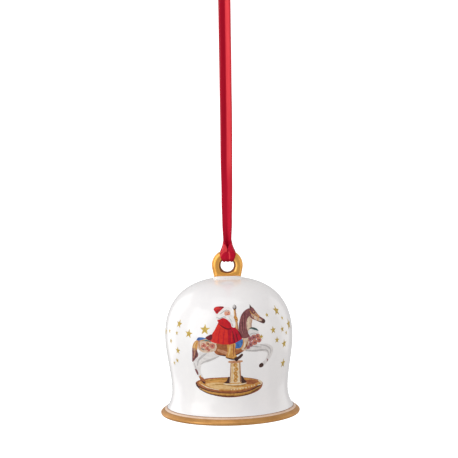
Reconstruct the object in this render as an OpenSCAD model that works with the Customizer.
// Glazed porcelain bell ornament: a slip-cast bell with a gilded lip and a gilded hanging eye,
// a bead clapper on a wire pin inside it, and a loop of satin ribbon to hang it by.
//
// The origin is the inside top of the ribbon loop, where it bears on a hook or a twig. +Z is up,
// X runs across the hanging eye, and Y runs through the eye's hole, with -Y the painted front.

/* [Bell] */
// Height from the foot of the lip to the top of the crown
bell_h = 59; // [56:0.5:62]
// Widest diameter of the dome
dome_d = 55; // [54:0.5:57]
// Narrowest diameter, at the waist
waist_d = 50; // [49:0.2:51]
// Outside diameter of the flared lip
lip_d = 60; // [59:0.5:61]
// Height of the gilded band on the lip
band_h = 3.2; // [2.8:0.1:3.6]
// Thickness of the porcelain wall
wall = 2.6; // [2.2:0.1:2.8]

/* [Hanging eye] */
// Diameter of the hole that the ribbon runs through
eye_hole_d = 5.6; // [5.4:0.1:5.8]
// Thickness of the eye, measured across its ring
eye_bar = 3.9; // [3.7:0.1:4.1]
// Thickness of the eye from front to back
eye_depth = 4.2; // [4:0.1:4.4]
// Height of the hole's centre over the top of the crown
eye_rise = 5.4; // [5.2:0.1:5.8]

/* [Clapper] */
// Diameter of the glazed bead
bead_d = 13; // [12:0.5:13]
// Height of the bead's centre over the foot of the lip
bead_z = 12; // [11:0.5:13]
// Diameter of the brass pin that carries the bead
pin_d = 0.9; // [0.8:0.05:1]
// Wire diameter of the ring between the pin and the porcelain lug
ring_wire_d = 1; // [0.9:0.05:1]

/* [Ribbon] */
// Width of the ribbon as it hangs, folded a little lengthwise
fold_w = 5.2; // [4.6:0.1:5.6]
// Depth of the folded ribbon from front to back
fold_t = 1; // [0.8:0.1:1]

/* [Hidden] */
$fn = 96;

porcelain = [0.95, 0.95, 0.94];
gilding = [0.80, 0.58, 0.26];
brass = [0.78, 0.62, 0.30];
satin = [0.72, 0.06, 0.15];

// Hanging eye: a ring whose bar, at the top, hangs in the ribbon
eye_hole_r = eye_hole_d / 2;
eye_ring_r = eye_hole_r + eye_bar / 2;
eye_out_r = eye_hole_r + eye_bar;
eye_foot_w = 11.6;
pad_w = 12.4;
pad_depth = 5.2;
pad_h = 0.7;

// Heights: the bar hangs at bar_z, and the bell's own heights count up from its foot
bar_z = -117;
eye_z = bell_h + eye_rise;
foot_z = bar_z - eye_z - eye_ring_r;

// Bell outline: radii and heights over the foot
dome_r = dome_d / 2;
waist_r = waist_d / 2;
lip_r = lip_d / 2;
dome_z = 0.575 * bell_h;
waist_z = 0.187 * bell_h;
fullness = 0.65;
side_pull = 7;
flare_pull = 3.5;
band_r = lip_r - 2.6;
edge_z = 1;
foot_out_r = lip_r - 1;
foot_in_r = lip_r - 2.8;

// Clapper lug and the chain that hangs from it
lug_r = 3.2;
lug_t = 2.2;
lug_bore_r = 1.3;
lug_z = bell_h - wall - 5.4;
ring_wire_r = ring_wire_d / 2;
ring_r = 3.6;
ring_top_z = lug_z - lug_bore_r + ring_wire_r + 0.3;
ring_z = ring_top_z - ring_r;
play = 0.05;
pin_r = pin_d / 2;
pin_eye_r = 1.7;
pin_top_z = ring_z - ring_r + ring_wire_r + pin_r + play;
pin_eye_z = pin_top_z - pin_eye_r;
pin_end = 0.5;
bead_r = bead_d / 2;
bead_flat = 0.15;
bead_half = bead_r - bead_flat;
crimp_r = 1.2;
crimp_h = 1.6;

// Ribbon under the bar: a channel with a floor, and a cheek up each side of the ring
bight_spread = 46;
bight_t = 0.9;
bight_gap = 0.06;
cheek_t = 0.6;
cheek_gap = 0.15;

// Knot over the hook, and the two cut ends
knot_low_z = 0.4;
knot_h = 6;
knot_r = 4.6;
tail_len = 12;
tail_w = 6.5;
tail_neck = 2.6;
tail_t = 0.4;
tail_lean = 26;
tail_sink = 0.8;

// Route of one strand as [distance from the middle, height], from the bar up to the knot
strand_route = [
    [3.9, -117], [3.8, -113], [3.6, -107], [3.3, -100], [3.1, -92], [3, -83],
    [3, -73], [3, -63], [3, -53], [3, -43], [3, -33], [3, -23],
    [3, -14], [2.9, -8], [2.4, -3.6], [1.5, -0.9], [0.6, 0.4]];

// A point on the cubic curve with end points a and d and handles b and c
function bezier(a, b, c, d, t) =
    a * pow(1 - t, 3) + 3 * b * t * pow(1 - t, 2) + 3 * c * t * t * (1 - t) + d * pow(t, 3);

// The curve as n steps, without its first point when skip is 1
function curve(a, b, c, d, n, skip = 0) = [for (i = [skip : n]) bezier(a, b, c, d, i / n)];

// Outside of the bell, from the top of the crown down to the foot
function outer_outline() = concat(
    curve([0, bell_h], [fullness * dome_r, bell_h],
          [dome_r, dome_z + fullness * (bell_h - dome_z)], [dome_r, dome_z], 24),
    curve([dome_r, dome_z], [dome_r, dome_z - side_pull],
          [waist_r, waist_z + side_pull], [waist_r, waist_z], 12, 1),
    curve([waist_r, waist_z], [waist_r, waist_z - flare_pull],
          [band_r - 1.3, band_h + 1.1], [band_r, band_h], 8, 1),
    curve([band_r, band_h], [band_r + 0.9, band_h - 0.8],
          [lip_r - 0.3, edge_z + 0.7], [lip_r, edge_z], 5, 1),
    curve([lip_r, edge_z], [lip_r + 0.05, 0.4], [lip_r - 0.4, 0], [foot_out_r, 0], 4, 1));

// Inside of the bell, from the foot up to the top of the hollow
in_dome_r = dome_r - wall;
in_waist_r = waist_r - wall;
in_top = bell_h - wall;
function inner_outline() = concat(
    [[foot_in_r, 0]],
    curve([foot_in_r - 0.6, 0.6], [foot_in_r - 2.2, 3],
          [in_waist_r, waist_z - 5], [in_waist_r, waist_z], 8),
    curve([in_waist_r, waist_z], [in_waist_r, waist_z + side_pull],
          [in_dome_r, dome_z - side_pull], [in_dome_r, dome_z], 12, 1),
    curve([in_dome_r, dome_z], [in_dome_r, dome_z + fullness * (in_top - dome_z)],
          [fullness * in_dome_r, in_top], [0, in_top], 24, 1));

// Everything inside the bell's outer skin, and its hollow
module outer_body() {
    rotate_extrude() polygon(concat(outer_outline(), [[0, 0]]));
}
module hollow() {
    rotate_extrude() polygon(concat([[0, 0]], inner_outline()));
}

// An oval section, w across and h high, as a polygon centred on the origin
module oval(w, h) {
    polygon([for (a = [0 : 15 : 345]) [w / 2 * cos(a), h / 2 * sin(a)]]);
}

// A wire bent into a closed ring of radius r about the Z axis
module wire_ring(r, wire_r) {
    rotate_extrude() translate([r, 0]) circle(wire_r, $fn = 32);
}

// A tube crimped round the pin, with its foot at height z
module crimp(z) {
    color(brass) translate([0, 0, foot_z + z]) difference() {
        cylinder(h = crimp_h, r = crimp_r, $fn = 48);
        translate([0, 0, -1]) cylinder(h = crimp_h + 2, r = pin_r, $fn = 32);
    }
}

// The slip-cast bell body, open at the foot
module bell_shell() {
    color(porcelain) translate([0, 0, foot_z])
        rotate_extrude() polygon(concat(outer_outline(), inner_outline()));
}

// The ring of the eye, the web that squares its lower corners, and the pad it stands on
module hanging_eye() {
    web_t = 0.76 * eye_depth;
    low = bell_h - 3;
    half_foot = eye_foot_w / 2;
    color(gilding) translate([0, 0, foot_z]) difference() {
        union() {
            translate([0, 0, eye_z]) rotate([90, 0, 0])
                rotate_extrude() translate([eye_ring_r, 0]) oval(eye_bar, eye_depth);
            translate([0, web_t / 2, 0]) rotate([90, 0, 0]) linear_extrude(web_t) difference() {
                polygon([[-half_foot, low], [half_foot, low], [half_foot, bell_h + 1.4],
                         [eye_out_r - 0.4, eye_z - 1], [0.4 - eye_out_r, eye_z - 1],
                         [-half_foot, bell_h + 1.4]]);
                translate([0, eye_z]) circle(eye_ring_r);
            }
            translate([0, 0, low]) linear_extrude(bell_h + pad_h - low) oval(pad_w, pad_depth);
        }
        outer_body();
    }
}

// The porcelain tab stuck inside the crown, bored through from side to side for the ring
module clapper_lug() {
    color(porcelain) translate([0, 0, foot_z]) difference() {
        intersection() {
            hollow();
            translate([-lug_t / 2, 0, lug_z]) rotate([90, 0, 90]) linear_extrude(lug_t) union() {
                circle(lug_r);
                translate([-lug_r, 0]) square([2 * lug_r, bell_h - lug_z]);
            }
        }
        translate([-lug_t, 0, lug_z]) rotate([0, 90, 0]) cylinder(h = 2 * lug_t, r = lug_bore_r);
    }
}

// The wire ring that runs through the lug's bore
module jump_ring() {
    color(brass) translate([0, 0, foot_z + ring_z]) rotate([90, 0, 0])
        wire_ring(ring_r, ring_wire_r);
}

// The pin: an eye on the ring, and a straight shank down through the bead
module clapper_pin() {
    shank_low = bead_z - bead_half - crimp_h - pin_end;
    color(brass) translate([0, 0, foot_z]) union() {
        translate([0, 0, pin_eye_z]) rotate([0, 90, 0]) wire_ring(pin_eye_r, pin_r);
        translate([0, 0, shank_low])
            cylinder(h = pin_eye_z - pin_eye_r - shank_low, r = pin_r, $fn = 32);
    }
}

// The glazed bead, bored for the pin, with a small flat at each end of the bore
module clapper_bead() {
    color(porcelain) translate([0, 0, foot_z + bead_z]) difference() {
        intersection() {
            sphere(bead_r);
            translate([0, 0, -bead_half]) cylinder(h = 2 * bead_half, r = bead_r + 1);
        }
        translate([0, 0, -bead_r]) cylinder(h = bead_d, r = pin_r + play, $fn = 32);
    }
}

// The two crimps that hold the bead in its place on the pin
module upper_crimp() {
    crimp(bead_z + bead_half + play);
}
module lower_crimp() {
    crimp(bead_z - bead_half - crimp_h - play);
}

// A strand of the ribbon: a flat eight-sided section at each point of its route; side is -1 in front
module strand(side) {
    sides = 8;
    last = len(strand_route) - 1;
    section = [for (k = [0 : sides - 1]) let (a = 360 * (k + 0.5) / sides)
        [fold_w / 2 * cos(a), fold_t / 2 * sin(a)] / cos(180 / sides)];
    points = [for (p = strand_route) for (s = section) [s[0], side * p[0] + s[1], p[1]]];
    walls = [for (i = [0 : last - 1]) for (k = [0 : sides - 1]) let (n = (k + 1) % sides)
        [i * sides + k, (i + 1) * sides + k, (i + 1) * sides + n, i * sides + n]];
    low_end = [for (k = [0 : sides - 1]) k];
    high_end = [for (k = [sides - 1 : -1 : 0]) last * sides + k];
    color(satin) polyhedron(points, concat(walls, [low_end, high_end]));
}

// The bend of the ribbon under the eye's bar: a sector of a channel about the hole's axis
module ribbon_bight() {
    floor_r = eye_hole_r - bight_gap;
    in_y = eye_depth / 2 + cheek_gap;
    out_y = in_y + cheek_t;
    color(satin) translate([0, 0, foot_z + eye_z]) rotate([90, 0, 0])
        rotate([0, 0, 90 - bight_spread]) rotate_extrude(angle = 2 * bight_spread) difference() {
            translate([floor_r - bight_t, -out_y]) square([eye_ring_r - floor_r + bight_t, 2 * out_y]);
            translate([floor_r, -in_y]) square([eye_bar, 2 * in_y]);
        }
}

// The overhand knot over the hook, flat underneath, where the ribbon's two ends are tied
module ribbon_knot() {
    middle = 0.46 * knot_h;
    color(satin) translate([0, 0, knot_low_z + middle]) rotate_extrude() intersection() {
        oval(2 * knot_r, 2 * (knot_h - middle));
        translate([0, -middle]) square([knot_r + 1, knot_h]);
    }
}

// A cut end of the ribbon that stands out of the knot; side is -1 for the left one
module ribbon_tail(side) {
    color(satin) translate([side * 0.6, side * 0.8 + tail_t / 2, knot_low_z + knot_h - tail_sink])
        rotate([90, 0, 0]) linear_extrude(tail_t) rotate(-side * tail_lean)
            polygon([[-tail_neck / 2, 0], [tail_neck / 2, 0], [tail_w / 2, 4],
                     [tail_w / 2, tail_len + side], [-tail_w / 2, tail_len - side],
                     [-tail_w / 2, 4]]);
}

bell_shell();
hanging_eye();
clapper_lug();
jump_ring();
clapper_pin();
clapper_bead();
upper_crimp();
lower_crimp();
strand(-1);  // ribbon_front_strand
strand(1);  // ribbon_back_strand
ribbon_bight();
ribbon_knot();
ribbon_tail(-1);  // ribbon_tail_left
ribbon_tail(1);  // ribbon_tail_right
